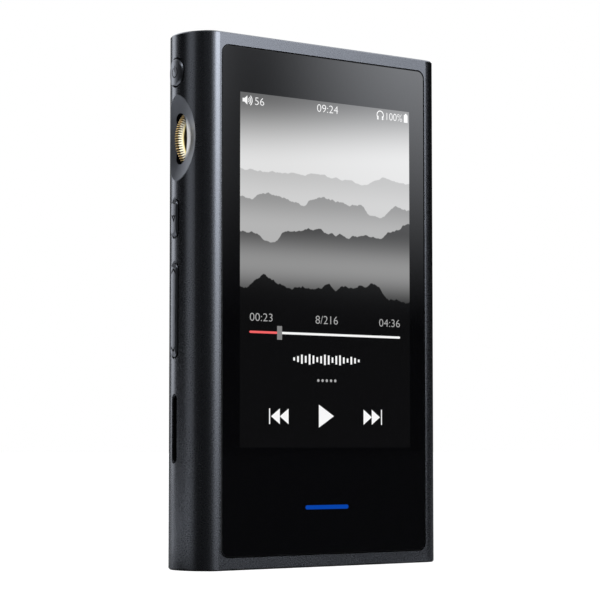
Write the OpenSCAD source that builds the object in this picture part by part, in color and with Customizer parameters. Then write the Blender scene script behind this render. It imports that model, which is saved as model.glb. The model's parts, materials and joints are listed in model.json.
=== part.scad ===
// Pocket digital audio player. A milled aluminium frame, rounded along both long sides, carries a
// glass front with the display behind it and a flat cover at the back. The controls sit in a row
// along the left side: power button, volume wheel in its dish, play button, track rocker, card slot.
// Origin: on the table under the middle of the player. +Z is up, the display faces -Y.

/* [Body] */
// Width across the two rounded sides
body_w = 70; // [68:0.5:76]
// Height
body_h = 116; // [114:0.5:124]
// Depth from front to back
body_d = 15.5; // [15.5:0.1:17]
// How far each side bulges past the flat front
side_bulge = 5.6; // [5.3:0.1:6]
// Radius where the front and the back turn into a side
corner_r = 4.3; // [4:0.1:4.6]
// Wall of the rounded sides
wall = 1.2; // [1:0.05:1.3]
// Wall at the top and the bottom
end_wall = 1.6; // [1.2:0.1:2]
// Bevel round the top and bottom edges
edge_bevel = 0.3; // [0.1:0.05:0.5]

/* [Front and back] */
// Flat strip of the frame beside the glass
side_strip = 0.6; // [0.4:0.05:1]
// Strip of the frame above and below the glass
end_strip = 2.8; // [2.4:0.1:3.2]
// Thickness of the front glass
glass_t = 0.9; // [0.7:0.05:1.1]
// Thickness of the back cover
cover_t = 1; // [0.8:0.05:1.2]
// Corner radius of the glass and the back cover
glass_r = 1.8; // [1:0.1:2.5]
// Gap round the glass and the back cover
glass_gap = 0.05; // [0.03:0.01:0.1]
// Bevel on the edge of the glass and of the frame round it
rim_bevel = 0.15; // [0.05:0.05:0.2]
// Thickness of the adhesive under the glass and the back cover
bond_t = 0.1; // [0.05:0.05:0.2]
// Width of the ledge that carries the glass and the back cover
ledge_w = 1.2; // [1:0.1:1.6]
// Thickness of that ledge
ledge_t = 1; // [0.8:0.05:1.2]
// Height of the radio window at the top of the back
window_h = 14.5; // [13:0.5:17]

/* [Display] */
// Space between the display panel and the ledge at each side
lcd_side = 2.05; // [1:0.05:3]
// Distance of the panel's upper edge below the top
lcd_drop = 11.6; // [9:0.1:14]
// Height of the panel's lower edge above the table
lcd_z = 22.4; // [20:0.1:24]
// Thickness of the display panel
lcd_t = 1.5; // [1.2:0.1:1.7]
// Thickness of the backlight tray
tray_t = 1; // [0.8:0.1:1.2]
// Thickness of the inner frame plate
mid_t = 0.8; // [0.6:0.05:1]

/* [Controls] */
// How far the row of controls sits behind the middle of the side
control_y = 1.15; // [1:0.05:1.3]
// Distance of the play button below the wheel's centre
play_step = 17.4; // [16.5:0.1:18.5]
// Distance of the track rocker's pivot below the play button
track_step = 19.9; // [18:0.1:21]
// Length of the track rocker's pocket
track_len = 20.5; // [18:0.1:20.5]
// Length of the play button's pocket
play_len = 8.3; // [7.6:0.1:9.4]
// Width of the pockets of the play button and the rocker
pocket_w = 2.75; // [2.6:0.05:3.1]
// How far the play button and the rocker stand out
cap_proud = 0.35; // [0.25:0.05:0.5]
// Distance of the power button's centre below the top
power_drop = 8.5; // [8:0.1:9]
// Diameter of the power button's hole
power_d = 6.2; // [5.4:0.1:6.6]
// How far the power button stands out
power_proud = 0.2; // [0.1:0.05:0.35]
// Gap round each button
button_gap = 0.15; // [0.12:0.01:0.2]
// Travel of the power and play buttons
press_travel = 0.3; // [0.2:0.05:0.35]
// Bevel on the front edge of each button
cap_bevel = 0.5; // [0.3:0.05:0.6]
// Length of the slope at each end of the play button and the rocker
cap_slope = 0.9; // [0.5:0.1:1.3]
// Bevel round the pockets, the power button's hole and the card slot
pocket_bevel = 0.25; // [0.1:0.05:0.35]

/* [Volume wheel] */
// Distance of the wheel's centre below the top
wheel_drop = 22.9; // [22.5:0.1:23.3]
// Radius of the wheel over its knurling
wheel_r = 8.2; // [7.9:0.05:8.4]
// Thickness of the wheel
wheel_t = 2.6; // [2.4:0.05:2.8]
// Width of the wheel's crest
crest_w = 1.25; // [1:0.05:1.6]
// How far the bevel beside the crest reaches in
wheel_bevel = 1.4; // [1:0.05:1.8]
// Number of ridges in the knurling
knurl_n = 92; // [60:2:100]
// Depth of the knurling
knurl_depth = 0.38; // [0.2:0.01:0.45]
// How far the rim lies below the rounded side
wheel_sink = 0.35; // [0.25:0.05:0.6]
// Length of the dish that the wheel lies in
dish_len = 18.3; // [16:0.1:19]
// Depth of that dish
dish_depth = 2; // [1.8:0.05:2.2]
// Length of the slot in the dish
slot_len = 11.2; // [10.8:0.1:11.8]
// Width of that slot
slot_w = 3.5; // [3.2:0.05:3.7]
// Clearance of the wheel in its slot
wheel_gap = 0.15; // [0.1:0.01:0.2]
// Radius of the wheel's axle
axle_r = 1; // [0.8:0.05:1.2]

/* [Ports] */
// Distance of the card slot's centre below the track rocker's pivot
card_step = 25.6; // [24:0.1:27]
// Length of the card slot
card_len = 14.4; // [13.8:0.1:15]
// Width of the card slot
card_slot_w = 1.8; // [1.8:0.05:2.2]
// Thickness of the card socket
card_t = 1.9; // [1.7:0.05:2]
// Radius of the headphone jack's bore
jack_r = 1.8; // [1.75:0.01:1.85]
// Distance of the headphone jack from the middle
jack_x = 15; // [13.5:0.1:16]
// Radius of the balanced jack's bore
balanced_r = 1.3; // [1.25:0.01:1.35]
// Distance of the balanced jack from the middle
balanced_x = 14; // [12.5:0.1:14.5]
// Length of the USB port's mouth
usb_w = 8.94; // [8.8:0.02:9.1]
// Height of the USB port's mouth
usb_t = 3.26; // [3.1:0.02:3.4]

/* [Inside] */
// Height of the battery bay's lower edge above the table
bay_low = 24.5; // [22:0.5:27]
// Distance of the battery bay's upper edge below the top
bay_drop = 14.5; // [12:0.5:17]
// Space between the battery and the lower edge of its bay
battery_low_gap = 2; // [1:0.1:4]
// Space between the battery and the main board beside it
battery_gap = 1.7; // [1:0.1:3]
// Space between the battery and the bulge of the right side
battery_side_gap = 1.3; // [1.3:0.1:3]
// Room behind the battery for swelling
battery_back_gap = 0.95; // [0.8:0.05:2]
// Width of the main board beside the battery
board_strip = 22.768; // [21:0.1:23]
// Thickness of the main board
board_t = 1; // [0.8:0.05:1.2]
// Radius of the small screws' threads
screw_r = 0.7; // [0.6:0.05:0.8]
// Running clearance of a pin or axle in its bore
pin_gap = 0.04; // [0.03:0.01:0.08]

/* [Hidden] */
$fn = 96;
tiny = 0.01;
flare_start = 0.05;
// How far the round ends of a bevel stand past the round ends of its hole.
flare_past = 0.06;

// Outline of the body: two flats joined by a large side arc between two corner arcs.
half_d = body_d / 2;
flat_half = body_w / 2 - side_bulge;
side_r = (side_bulge ^ 2 + half_d ^ 2 - 2 * half_d * corner_r) / (2 * (side_bulge - corner_r));
side_x = flat_half + side_bulge - side_r;
corner_y = half_d - corner_r;

// Layers from the front to the back.
glass_back = -half_d + glass_t;
ledge_front = glass_back + bond_t;
cavity_front = ledge_front + ledge_t;
lcd_back = ledge_front + lcd_t;
mid_front = lcd_back + tray_t;
mid_back = mid_front + mid_t;
board_front = control_y + card_t / 2;
board_back = board_front + board_t;
cover_front = half_d - cover_t;
cavity_back = cover_front - bond_t - ledge_t;

// Glass, back cover and the openings behind them.
glass_w = 2 * (flat_half - side_strip - glass_gap);
glass_h = body_h - 2 * (end_strip + glass_gap);
glass_z = body_h / 2;
opening_w = glass_w - 2 * ledge_w;
opening_h = glass_h - 2 * ledge_w;
opening_r = glass_r;
split_z = body_h - end_strip - window_h;
lcd_w = opening_w - 2 * lcd_side;
lcd_h = body_h - lcd_drop - lcd_z;

// Side wall at the row of controls: its outer and inner face.
skin_x = side_x + sqrt(side_r ^ 2 - control_y ^ 2);
lining_x = skin_x - wall;
power_z = body_h - power_drop;
wheel_z = body_h - wheel_drop;
play_z = wheel_z - play_step;
track_z = play_z - track_step;
card_z = track_z - card_step;

// Dish and wheel.
dish_r = (dish_len ^ 2 / 4 + dish_depth ^ 2) / (2 * dish_depth);
dish_x = skin_x - dish_depth + dish_r;
wheel_x = skin_x - wheel_sink - wheel_r;

// Buttons: a flange behind the wall keeps each cap in its hole. The bevel of a cap is cut from
// cap_spare outside its rounded face, so it takes off most at the front edge.
cap_w = pocket_w - 2 * button_gap;
cap_spare = 0.15;
function cap_top(proud) = side_x + side_r + proud + cap_spare;
flange_t = 0.6;
flange_lip = 0.6;
flange_x = side_x + sqrt((side_r - wall) ^ 2 - (control_y + cap_w / 2 + flange_lip) ^ 2) - 0.15;
rocker_swing = 1.5;
rocker_flange_x = flange_x - 0.3;
plunger_r = 0.8;
plunger_gap = 0.15;
switch_t = 1.5;
switch_w = 4;
switch_x = flange_x - flange_t - 1.5;
side_board_x = switch_x - switch_t;
side_board_t = 0.6;
side_board_w = 6;
bracket_x = side_board_x - side_board_t;
bracket_t = 0.6;
foot_len = 3.4;
bracket_end = 3.4;
track_reach = 7;
button_low = track_z - track_reach - bracket_end;
button_high = play_z + switch_w / 2 + 2.6;
power_low = power_z - switch_w;
power_high = power_z + switch_w;
pivot_x = rocker_flange_x - flange_t - 0.9;
pivot_r = 0.4;

// Main board.
board_left = bracket_x - bracket_t - 0.8;
board_right = flat_half - 2.4;
board_low = end_wall + 1.4;
board_high = body_h - end_wall - 1.8;
board_split = board_strip - board_left;
board_top_z = body_h - bay_drop;
board_bottom_z = bay_low;

// Shield can over the processor and the memory.
core_w = 13;
core_t = 1.2;
memory_w = 6;
memory_h = 10;
memory_t = 1;
memory_gap = 1;
chip_margin = 1.5;
chip_gap = 2.5;
can_w = 2 * memory_w + memory_gap + 2 * chip_margin;
can_h = core_w + memory_h + chip_gap + 3 * chip_margin;
can_t = 2;
can_wall = 0.2;
can_edge = 2.9;
can_drop = 9.9;
can_x = board_split - can_edge - can_w / 2;
can_z = wheel_z - wheel_r - can_h / 2 - can_drop;

// Screws.
head_r = 1.2;
head_t = 0.6;
thread_gap = 0.02;
standoff_r = 1.6;
screw_bite = 3;
screw_edge = 3;
screw_low = 6.4;
screw_drop = 5.6;
mid_screw_x = flat_half;
mid_screw_z = [screw_low + 1.6, button_low - 4.4, power_low - 2];
board_screw_at = [
    [board_right - screw_edge, screw_low],
    [board_right - screw_edge, body_h - screw_drop],
    [screw_edge + head_r - board_left, screw_low],
    [board_split - head_r - 0.8, can_z - can_h / 2 - screw_edge],
    [board_split - 2 * screw_edge - head_r, body_h - screw_drop],
];
bracket_screw_at = [track_z - track_reach - 1, play_z + switch_w / 2 + 0.3];
cage_screw_z = wheel_r + 1;
cage_screw_x = wheel_x - 4.4;

// Wheel cage: a plate in front of the wheel, one behind it and a spine beside it.
cage_t = 0.75;
cage_gap = 0.5;
cage_front = control_y - wheel_t / 2 - cage_gap - cage_t;
cage_back = control_y + wheel_t / 2 + cage_gap;
spine_in = wheel_r - wheel_x + 0.7;
spine_out = spine_in + 0.8;
knurl_land = 0.12;
ear_w = 5.2;

// Ports.
socket_l = 15;
card_w = 11.4;
card_gap_t = 1;
jack_wall = 0.7;
jack_nose = 1;
jack_end = 0.6;
jack_depth = 14;
balanced_depth = 11.5;
usb_len = 7.5;
usb_wall = 0.3;
port_y = board_front - usb_t / 2;
port_gap = 0.1;

// Battery, in the bay beside the main board.
protect_h = 2.4;
protect_gap = 0.6;
tape_t = 0.15;
battery_left = board_split + battery_gap;
battery_w = flat_half - battery_side_gap - battery_left;
battery_x = battery_left + battery_w / 2;
battery_z = board_bottom_z + battery_low_gap;
battery_h = board_top_z - protect_gap - protect_h - battery_z;
battery_front = mid_back + tape_t;
battery_t = cavity_back - battery_back_gap - battery_front;

// ---- shared shapes ----

module column(r, h, bevel) {
    rotate_extrude()
        polygon([[0, 0], [r - bevel, 0], [r, bevel], [r, h - bevel], [r - bevel, h], [0, h]]);
}

module side_wedge(h) {
    reach = 3;
    far_x = side_x + reach * (flat_half - side_x);
    far_y = reach * corner_y;
    linear_extrude(h)
        polygon([[side_x, 0], [far_x, far_y], [far_x, -far_y]]);
}

// The body's form over height h, drawn in by inset all round, with bevelled ends.
module body_form(h, inset = 0, bevel = 0) {
    d = half_d - inset;
    translate([-flat_half, 0, 0])
        rotate([90, 0, 90])
            linear_extrude(2 * flat_half)
                polygon([[bevel - d, 0], [d - bevel, 0], [d, bevel], [d, h - bevel],
                         [d - bevel, h], [bevel - d, h], [-d, h - bevel], [-d, bevel]]);
    for (side = [0, 1])
        mirror([side, 0, 0]) {
            for (end = [-1, 1])
                translate([flat_half, end * corner_y, 0])
                    column(corner_r - inset, h, bevel);
            intersection() {
                translate([side_x, 0, 0])
                    column(side_r - inset, h, bevel);
                side_wedge(h);
            }
        }
}

// Extrudes a flat drawing in X and Z from depth y0 to depth y1.
module upright(y0, y1) {
    translate([0, y1, 0])
        rotate([90, 0, 0])
            linear_extrude(y1 - y0)
                children();
}

// Places a piece on the left side: its own +Z points out of the side, its own +X points up.
module on_left(x, z) {
    translate([-x, control_y, z])
        rotate([0, -90, 0])
            children();
}

module round_rect(w, h, r) {
    square([w - 2 * r, h], center = true);
    square([w, h - 2 * r], center = true);
    for (x = [-1, 1], y = [-1, 1])
        translate([x * (w / 2 - r), y * (h / 2 - r)])
            circle(r);
}

module pill(len, w) {
    square([len - w, w], center = true);
    for (end = [-1, 1])
        translate([end * (len - w) / 2, 0])
            circle(d = w);
}

// A disc with its upper edge bevelled.
module round_cap(r, h, bevel) {
    rotate_extrude()
        polygon([[0, 0], [r, 0], [r, h - bevel], [r - bevel, h], [0, h]]);
}

// A pill with its upper edge bevelled.
module pill_cap(len, w, h, bevel) {
    r = w / 2;
    straight = len - w;
    rotate([90, 0, 90])
        translate([0, 0, -straight / 2])
            linear_extrude(straight)
                polygon([[-r, 0], [r, 0], [r, h - bevel], [r - bevel, h],
                         [bevel - r, h], [-r, h - bevel]]);
    for (end = [-1, 1])
        translate([end * straight / 2, 0, 0])
            round_cap(r, h, bevel);
}

module screw(len) {
    cylinder(r = screw_r, h = len + tiny);
    translate([0, 0, len])
        difference() {
            cylinder(r = head_r, h = head_t);
            translate([0, 0, head_t / 2])
                cylinder(r = head_r / 2, h = head_t, $fn = 6);
        }
}

// A screw along Y, its head at the back against depth y, its thread reaching len forward.
module screw_at(x, y, z, len) {
    translate([x, y - len, z])
        rotate([-90, 0, 0])
            screw(len);
}

module hole_at(x, y0, y1, z, r) {
    translate([x, y0, z])
        rotate([-90, 0, 0])
            cylinder(r = r, h = y1 - y0);
}

// A box given by two opposite corners.
module block(low, high) {
    translate(low)
        cube(high - low);
}

module ring_plate(y0, y1) {
    upright(y0, y1)
        difference() {
            translate([0, glass_z])
                round_rect(glass_w, glass_h, glass_r);
            translate([0, glass_z])
                round_rect(opening_w, opening_h, opening_r);
        }
}

// A rounded plate in X and Z between depths y0 and y1, wider by flare on every side at y1.
module flared_plate(w, h, r, y0, y1, flare) {
    for (side = [-1, 1], end = [-1, 1])
        translate([side * (w / 2 - r), y0, glass_z + end * (h / 2 - r)])
            rotate([-90, 0, 0])
                cylinder(r1 = r, r2 = r + flare, h = y1 - y0);
    translate([r - w / 2, 0, glass_z])
        rotate([90, 0, 90])
            linear_extrude(w - 2 * r)
                polygon([[y0, -h / 2], [y0, h / 2], [y1, h / 2 + flare], [y1, -h / 2 - flare]]);
    translate([0, 0, glass_z - h / 2 + r])
        linear_extrude(h - 2 * r)
            polygon([[-w / 2, y0], [w / 2, y0], [w / 2 + flare, y1], [-w / 2 - flare, y1]]);
}

// A long hole's bevel: it starts inside the hole and opens by 45 degrees. Its own +Z points out.
module pocket_flare(len, w) {
    inner = w / 2 - flare_start;
    outer = w / 2 + 2 * pocket_bevel;
    low = -pocket_bevel - flare_start;
    run = (len - w) / 2 + flare_past;
    translate([-run, 0, 0])
        rotate([90, 0, 90])
            linear_extrude(2 * run)
                polygon([[-inner, low], [inner, low], [outer, pocket_bevel], [-outer, pocket_bevel]]);
    for (end = [-run, run])
        translate([end, 0, low])
            cylinder(r1 = inner, r2 = outer, h = pocket_bevel - low);
}

// Places a hole of width w square to the skin at the row of controls.
module on_skin(w, z) {
    translate([-side_x, 0, z])
        rotate([0, 0, -asin(control_y / side_r)])
            translate([-sqrt(side_r ^ 2 - w ^ 2 / 4), 0, 0])
                rotate([0, -90, 0])
                    children();
}

// ---- casing ----

// Recess for a plate and the opening behind it, cut from one face to depth y1.
module face_cut(y0, y1, seat0, seat1) {
    upright(seat0, seat1)
        translate([0, glass_z])
            round_rect(glass_w + 2 * glass_gap, glass_h + 2 * glass_gap, glass_r + glass_gap);
    upright(y0, y1)
        translate([0, glass_z])
            round_rect(opening_w, opening_h, opening_r);
}

module cavity() {
    difference() {
        intersection() {
            translate([0, 0, end_wall])
                body_form(body_h - 2 * end_wall, wall);
            block([-body_w, cavity_front, 0], [body_w, cavity_back, body_h]);
        }
        // the wall behind the dish keeps its thickness
        translate([-dish_x, control_y, wheel_z])
            sphere(dish_r + wall, $fn = 128);
    }
}

// The wheel's bevelled disc, about Z.
module wheel_form(grow) {
    r = wheel_r + grow;
    t = wheel_t / 2 + grow;
    k = crest_w / 2 + grow;
    rotate_extrude()
        polygon([[0, -t], [r - wheel_bevel, -t], [r, -k], [r, k], [r - wheel_bevel, t], [0, t]]);
}

module side_cuts() {
    bite = wall + 4;
    // power button
    on_left(skin_x - bite, power_z)
        cylinder(d = power_d, h = 2 * bite);
    // dish, slot and room for the wheel
    translate([-dish_x, control_y, wheel_z])
        sphere(dish_r, $fn = 128);
    on_left(wheel_x + wheel_r - 3, wheel_z)
        linear_extrude(bite)
            pill(slot_len, slot_w);
    translate([-wheel_x, control_y, wheel_z])
        rotate([90, 0, 0])
            wheel_form(wheel_gap);
    // play button, track rocker and card slot
    on_left(skin_x - bite, play_z)
        linear_extrude(2 * bite)
            pill(play_len, pocket_w);
    on_left(skin_x - bite, track_z)
        linear_extrude(2 * bite)
            pill(track_len, pocket_w);
    on_skin(card_slot_w, card_z)
        translate([0, 0, -bite])
            linear_extrude(2 * bite)
                pill(card_len, card_slot_w);
    // bevels
    on_left(skin_x - pocket_bevel - flare_start, power_z)
        cylinder(r1 = power_d / 2 - flare_start, r2 = power_d / 2 + bite, h = bite + flare_start);
    on_skin(pocket_w, play_z)
        pocket_flare(play_len, pocket_w);
    on_skin(pocket_w, track_z)
        pocket_flare(track_len, pocket_w);
    on_skin(card_slot_w, card_z)
        pocket_flare(card_len, card_slot_w);
}

// Bevel on the frame's edge round the glass, from inside the recess out past the front.
module rim_cut() {
    mirror([0, 1, 0])
        flared_plate(glass_w + 2 * glass_gap, glass_h + 2 * glass_gap, glass_r + glass_gap,
                     half_d - rim_bevel, half_d + rim_bevel, 2 * rim_bevel);
}

module end_cuts() {
    translate([jack_x, port_y, -1])
        cylinder(r = jack_r + jack_nose + port_gap, h = end_wall + 2);
    translate([-balanced_x, port_y, -1])
        cylinder(r = balanced_r + jack_nose + port_gap, h = end_wall + 2);
    translate([0, port_y, -1])
        linear_extrude(end_wall + 2)
            pill(usb_w + 2 * port_gap, usb_t + 2 * port_gap);
}

// Bosses on the front ledge that the inner frame is screwed to.
module mid_bosses() {
    for (x = [-1, 1], z = mid_screw_z)
        difference() {
            hole_at(x * mid_screw_x, cavity_front - tiny, mid_front, z, 2 * screw_r);
            hole_at(x * mid_screw_x, cavity_front, mid_front + 1, z, screw_r + thread_gap);
        }
}

module housing() {
    color([0.2, 0.21, 0.23]) {
        difference() {
            body_form(body_h, 0, edge_bevel);
            cavity();
            face_cut(-half_d - 1, cavity_front + 1, -half_d - 1, ledge_front);
            face_cut(cavity_back - 1, half_d + 1, cover_front - bond_t, half_d + 1);
            rim_cut();
            side_cuts();
            end_cuts();
        }
        mid_bosses();
    }
}

module front_glass() {
    color([0.03, 0.03, 0.04]) {
        upright(rim_bevel - half_d, glass_back)
            translate([0, glass_z])
                round_rect(glass_w, glass_h, glass_r);
        flared_plate(glass_w - 2 * rim_bevel, glass_h - 2 * rim_bevel, glass_r - rim_bevel,
                     -half_d, rim_bevel - half_d, rim_bevel);
    }
}

module glass_bond() {
    color([0.1, 0.1, 0.1])
        ring_plate(glass_back, ledge_front);
}

module rear_cover() {
    color([0.2, 0.21, 0.23])
        intersection() {
            upright(cover_front, half_d)
                translate([0, glass_z])
                    round_rect(glass_w, glass_h, glass_r);
            block([-body_w, 0, 0], [body_w, body_d, split_z]);
        }
}

module radio_window() {
    color([0.12, 0.12, 0.13])
        intersection() {
            upright(cover_front, half_d)
                translate([0, glass_z])
                    round_rect(glass_w, glass_h, glass_r);
            block([-body_w, 0, split_z + glass_gap], [body_w, body_d, body_h]);
        }
}

module cover_bond() {
    color([0.1, 0.1, 0.1])
        ring_plate(cover_front - bond_t, cover_front);
}

// ---- display and inner frame ----

lcd_ledge = 3;

module lcd_panel() {
    color([0.05, 0.05, 0.07])
        block([-lcd_w / 2, ledge_front, lcd_z], [lcd_w / 2, lcd_back, lcd_z + lcd_h]);
}

module panel_bond() {
    color([0.8, 0.85, 0.9])
        block([-lcd_w / 2, glass_back, lcd_z], [lcd_w / 2, ledge_front, lcd_z + lcd_h]);
}

module backlight_tray() {
    color("silver")
        upright(lcd_back, mid_front)
            translate([0, lcd_z + (lcd_h + lcd_ledge) / 2])
                round_rect(lcd_w, lcd_h - lcd_ledge, 1);
}

flex_t = 0.15;
flex_w = 14;
flex_bend = 0.8;
flex_z = 15;
connector_t = 0.8;
connector_h = 3.3;

// The flex hangs from the panel's lower ledge and turns back through the inner frame.
module display_flex() {
    color([0.75, 0.5, 0.2])
        translate([-flex_w / 2, 0, 0])
            rotate([90, 0, 90])
                linear_extrude(flex_w) {
                    translate([lcd_back, flex_z + flex_bend])
                        square([flex_t, lcd_z + lcd_ledge - 0.4 - flex_z - flex_bend]);
                    translate([lcd_back + flex_bend, flex_z])
                        square([board_front - connector_t - lcd_back - flex_bend, flex_t]);
                    intersection() {
                        translate([lcd_back + flex_bend, flex_z + flex_bend])
                            difference() {
                                circle(flex_bend);
                                circle(flex_bend - flex_t);
                            }
                        translate([lcd_back, flex_z])
                            square(flex_bend);
                    }
                }
}

module display_connector() {
    color([0.85, 0.83, 0.78])
        block([-flex_w / 2, board_front - connector_t, flex_z - connector_h / 2],
              [flex_w / 2, board_front, flex_z + connector_h / 2]);
}

module mid_frame() {
    mid_w = 2 * (mid_screw_x + 2);
    mid_margin = end_wall + 0.4;
    color([0.55, 0.56, 0.58])
        difference() {
            upright(mid_front, mid_back)
                translate([0, body_h / 2])
                    round_rect(mid_w, body_h - 2 * mid_margin, 3);
            // slot for the display flex
            block([-flex_w / 2 - 1, mid_front - 1, flex_z - 0.8],
                  [flex_w / 2 + 1, mid_back + 1, flex_z + 1.2]);
            for (x = [-1, 1], z = mid_screw_z)
                hole_at(x * mid_screw_x, mid_front - 1, mid_back + 1, z, screw_r + thread_gap);
            for (at = board_screw_at)
                hole_at(at[0], mid_front - 1, mid_back + 1, at[1], screw_r + thread_gap);
            for (z = bracket_screw_at)
                hole_at(foot_x, mid_front - 1, mid_back + 1, z, screw_r + thread_gap);
            hole_at(foot_x, mid_front - 1, mid_back + 1, power_z, screw_r + thread_gap);
            for (side = [-1, 1])
                hole_at(-cage_screw_x, mid_front - 1, mid_back + 1,
                        wheel_z + side * cage_screw_z, screw_r + thread_gap);
        }
}

module mid_frame_screws() {
    color("silver")
        for (x = [-1, 1], z = mid_screw_z)
            screw_at(x * mid_screw_x, mid_back, z, mid_back - cavity_front);
}

// ---- buttons ----

// Screw line of the brackets' feet.
foot_x = -(bracket_x - bracket_t - foot_len / 2);

// Keeps a piece within the body's outline grown by proud.
module skin_cut(proud, z, h) {
    intersection() {
        children();
        translate([0, 0, z - h / 2])
            body_form(h, -proud);
    }
}

module power_button() {
    r = power_d / 2 - button_gap;
    color([0.22, 0.23, 0.25]) {
        skin_cut(power_proud, power_z, 2 * power_d)
            on_left(flange_x - tiny, power_z)
                round_cap(r, cap_top(power_proud) - flange_x, cap_bevel);
        on_left(flange_x - flange_t, power_z)
            cylinder(r = cap_w / 2 + flange_lip, h = flange_t);
    }
}

// Side view of a cap from depth x0, sloping away at both ends from the skin outwards.
module cap_slopes(len, x0, z) {
    x1 = skin_x + 3 * cap_proud;
    half = len / 2;
    upright(control_y - cap_w, control_y + cap_w)
        translate([0, z])
            polygon([[-x0, -half - 1], [-skin_x, -half - 1], [-skin_x, -half],
                     [-x1, 3 * cap_slope - half], [-x1, half - 3 * cap_slope],
                     [-skin_x, half], [-skin_x, half + 1], [-x0, half + 1]]);
}

module play_button() {
    len = play_len - 2 * button_gap;
    color([0.22, 0.23, 0.25]) {
        skin_cut(cap_proud, play_z, 2 * play_len)
            intersection() {
                on_left(flange_x - tiny, play_z)
                    pill_cap(len, cap_w, cap_top(cap_proud) - flange_x, cap_bevel);
                cap_slopes(len, flange_x - 1, play_z);
            }
        on_left(flange_x - flange_t, play_z)
            linear_extrude(flange_t)
                pill(len + 2 * flange_lip, cap_w + 2 * flange_lip);
    }
}

module track_rocker() {
    len = track_len - 2 * button_gap;
    rib = 1.8;
    color([0.22, 0.23, 0.25])
        difference() {
            union() {
                skin_cut(cap_proud, track_z, 2 * track_len)
                    intersection() {
                        on_left(rocker_flange_x - tiny, track_z)
                            pill_cap(len, cap_w, cap_top(cap_proud) - rocker_flange_x, cap_bevel);
                        cap_slopes(len, rocker_flange_x - 1, track_z);
                    }
                on_left(rocker_flange_x - flange_t, track_z)
                    linear_extrude(flange_t)
                        pill(len + 2 * flange_lip, cap_w + 2 * flange_lip);
                // rib that the pin goes through
                block([-rocker_flange_x, control_y - rib / 2, track_z - 1],
                      [-pivot_x + 1, control_y + rib / 2, track_z + 1]);
            }
            hole_at(-pivot_x, control_y - rib, control_y + rib, track_z, pivot_r);
        }
}

module rocker_pin() {
    color("silver")
        hole_at(-pivot_x, control_y - 1.9, control_y + 1.9, track_z, pivot_r);
}

module rocker_cradle() {
    color([0.15, 0.15, 0.16])
        for (side = [-1, 1])
            difference() {
                block([-(pivot_x + 0.8), control_y + side * 1.5 - 0.4, track_z - 1],
                      [-side_board_x, control_y + side * 1.5 + 0.4, track_z + 1]);
                hole_at(-pivot_x, control_y - 3, control_y + 3, track_z, pivot_r + pin_gap);
            }
}

// The part of a switch that is pushed: it stands between the flange and the switch's well.
module plunger(x, z) {
    on_left(switch_x - 0.4, z)
        cylinder(r = plunger_r, h = x - switch_x + 0.4);
}

module switch_at(z) {
    difference() {
        on_left(side_board_x, z)
            translate([-switch_w / 2, -switch_w / 2, 0])
                cube([switch_w, switch_w, switch_t]);
        on_left(switch_x - 0.9, z)
            cylinder(r = plunger_r + plunger_gap, h = 2);
    }
}

module power_plunger() {
    color([0.9, 0.9, 0.88])
        plunger(flange_x - flange_t, power_z);
}

module play_plunger() {
    color([0.9, 0.9, 0.88])
        plunger(flange_x - flange_t, play_z);
}

module track_plungers() {
    color([0.9, 0.9, 0.88])
        for (side = [-1, 1])
            plunger(rocker_flange_x - flange_t, track_z + side * track_reach);
}

module power_switch() {
    color([0.75, 0.75, 0.72])
        switch_at(power_z);
}

module play_switch() {
    color([0.75, 0.75, 0.72])
        switch_at(play_z);
}

module track_switches() {
    color([0.75, 0.75, 0.72])
        for (side = [-1, 1])
            switch_at(track_z + side * track_reach);
}

// Strip of circuit board behind the switches.
module side_board(z0, z1) {
    block([-side_board_x, control_y - side_board_w / 2, z0],
          [-bracket_x, control_y + side_board_w / 2, z1]);
}

// Angle of sheet metal that carries it and stands on the inner frame.
module side_bracket(z0, z1, screws) {
    difference() {
        union() {
            block([-bracket_x, mid_back, z0],
                  [-(bracket_x - bracket_t), control_y + side_board_w / 2, z1]);
            block([-bracket_x, mid_back, z0],
                  [-(bracket_x - bracket_t - foot_len), mid_back + bracket_t, z1]);
        }
        for (z = screws)
            hole_at(foot_x, mid_back - 1, mid_back + 2, z, screw_r + thread_gap);
    }
}

module power_board() {
    color([0.1, 0.35, 0.2])
        side_board(power_low, power_high);
}

module power_bracket() {
    color("silver")
        side_bracket(power_low, power_high, [power_z]);
}

module button_board() {
    color([0.1, 0.35, 0.2])
        side_board(button_low, button_high);
}

module button_bracket() {
    color("silver")
        side_bracket(button_low, button_high, bracket_screw_at);
}

module bracket_screws() {
    color("silver")
        for (z = concat(bracket_screw_at, [power_z]))
            screw_at(foot_x, mid_back + bracket_t, z, mid_t + bracket_t);
}

// ---- volume wheel ----

module volume_wheel() {
    crest_r = wheel_r + knurl_land;
    root_r = wheel_r - knurl_depth;
    color([0.72, 0.53, 0.22])
        translate([-wheel_x, control_y, wheel_z])
            rotate([90, 0, 0])
                difference() {
                    intersection() {
                        wheel_form(0);
                        // ridges: a star with one point to a ridge
                        linear_extrude(2 * wheel_t, center = true)
                            polygon([for (i = [0 : 2 * knurl_n - 1])
                                let (r = i % 2 == 0 ? crest_r : root_r, a = i * 180 / knurl_n)
                                [r * cos(a), r * sin(a)]]);
                    }
                    cylinder(r = axle_r, h = 2 * wheel_t, center = true);
                }
}

module wheel_axle() {
    color("silver")
        hole_at(-wheel_x, cage_front - 0.5, cage_back + cage_t + encoder_t - 0.4, wheel_z, axle_r);
}

module cage_plate(y0, y1) {
    upright(y0, y1) {
        translate([-wheel_x, wheel_z])
            circle(d = ear_w);
        translate([-wheel_x, wheel_z - ear_w / 2])
            square([spine_out + wheel_x, ear_w]);
    }
}

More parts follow.
